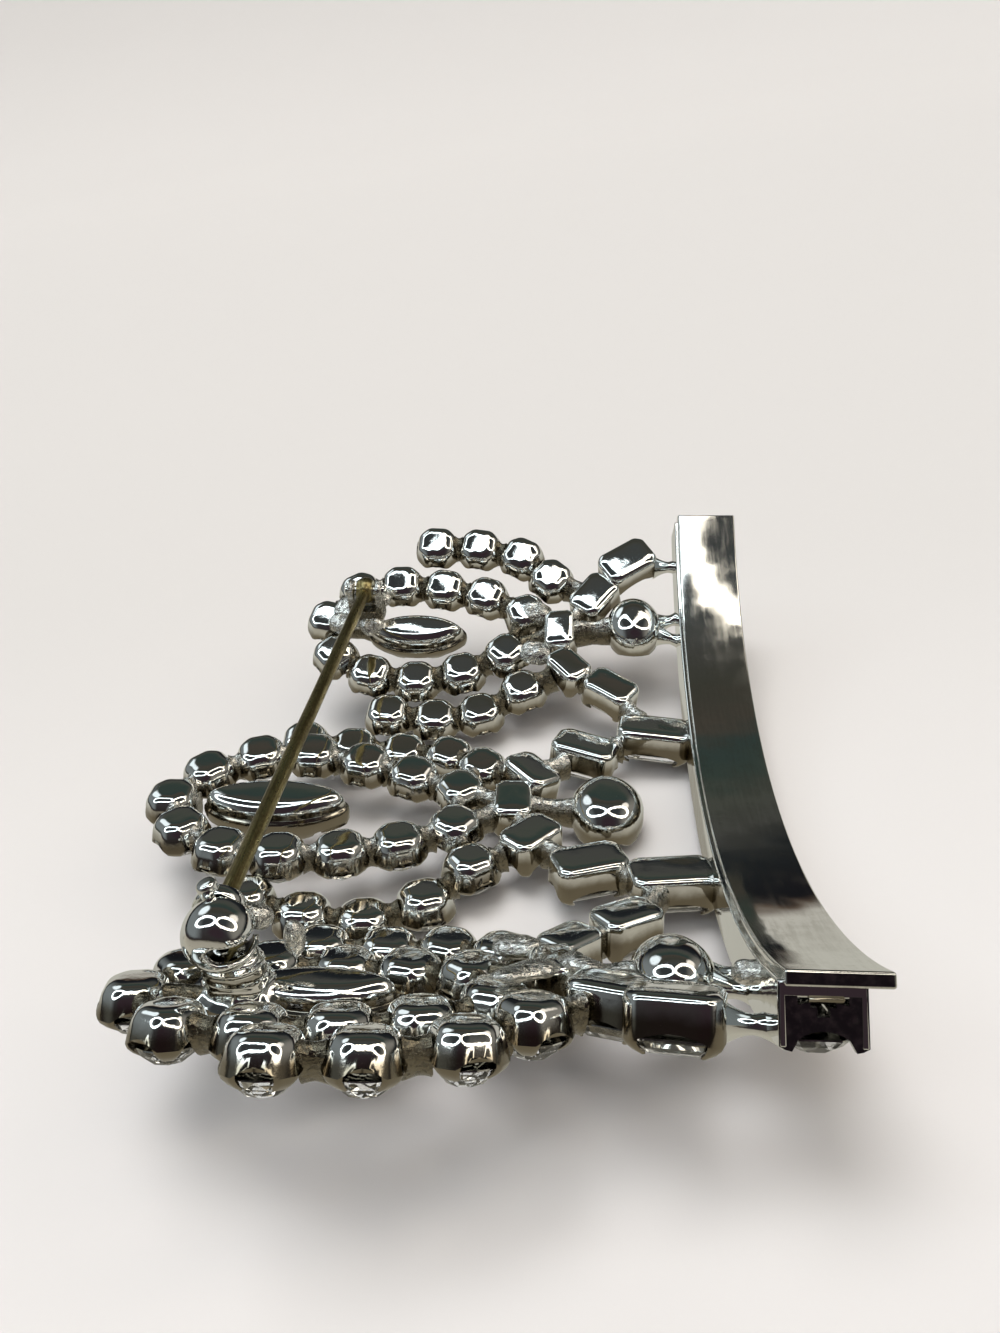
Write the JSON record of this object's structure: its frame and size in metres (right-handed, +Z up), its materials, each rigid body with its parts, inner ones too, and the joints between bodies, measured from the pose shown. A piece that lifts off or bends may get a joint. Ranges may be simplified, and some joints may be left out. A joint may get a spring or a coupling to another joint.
{
  "type": "crown brooch",
  "caption": "Crown-shaped brooch with a curved stone-set base band, three fleurs-de-lis of cup-set stones, and a hinged pin with a rotating catch.",
  "frame": {"origin": "middle of the brooch's footprint, on the surface that it lies on", "axes": "+X from the crown's tips towards its base band, +Y along the band from the catch towards the pin's hinge, +Z up out of the brooch's back"},
  "size_m": [0.0528, 0.067, 0.0168],
  "materials": {
    "bright_metal": "bright plated cast metal",
    "dull_brass": "dull tarnished wire",
    "clear_stone": "clear cut glass"
  },
  "bodies": {
    "crown": {"baguette_far_leg_foot": "clear_stone", "baguette_far_leg_inner": "clear_stone", "baguette_far_leg_lower": "clear_stone", "baguette_far_leg_upper": "clear_stone", "baguette_far_throat": "clear_stone", "baguette_middle_leg_lower_far": "clear_stone", "baguette_middle_leg_lower_near": "clear_stone", "baguette_middle_leg_upper_far": "clear_stone", "baguette_middle_leg_upper_near": "clear_stone", "baguette_middle_neck_far": "clear_stone", "baguette_middle_neck_near": "clear_stone", "baguette_middle_throat": "clear_stone", "baguette_near_leg_foot": "clear_stone", "baguette_near_leg_inner": "clear_stone", "baguette_near_leg_lower": "clear_stone", "baguette_near_leg_upper": "clear_stone", "baguette_near_throat": "clear_stone", "base_stone_01": "clear_stone", "base_stone_02": "clear_stone", "base_stone_03": "clear_stone", "base_stone_04": "clear_stone", "base_stone_05": "clear_stone", "base_stone_06": "clear_stone", "base_stone_07": "clear_stone", "base_stone_08": "clear_stone", "base_stone_09": "clear_stone", "base_stone_10": "clear_stone", "base_stone_11": "clear_stone", "base_stone_12": "clear_stone", "base_stone_13": "clear_stone", "base_stone_14": "clear_stone", "base_stone_15": "clear_stone", "hinge_rivet": "bright_metal", "navette_far_heart": "clear_stone", "navette_middle_heart": "clear_stone", "navette_near_heart": "clear_stone", "oval_far_foot": "clear_stone", "oval_middle_foot": "clear_stone", "oval_near_foot": "clear_stone", "setting": "bright_metal"},
    "pin": {"pin_stem": "dull_brass"},
    "barrel": {"catch_barrel": "bright_metal"}
  },
  "joints": [
    {"name": "pin_hinge", "type": "hinge", "parent": "crown", "child": "pin", "pos_m": [-0.0103, 0.0232, 0.01322], "axis": [-0.994, 0, 0.1092], "range_deg": [0, 110]},
    {"name": "catch_turn", "type": "hinge", "parent": "crown", "child": "barrel", "pos_m": [-0.01118, -0.0228, 0.01442], "axis": [-0.019, -0.9995, 0.0261], "range_deg": [0, 100]}
  ]
}
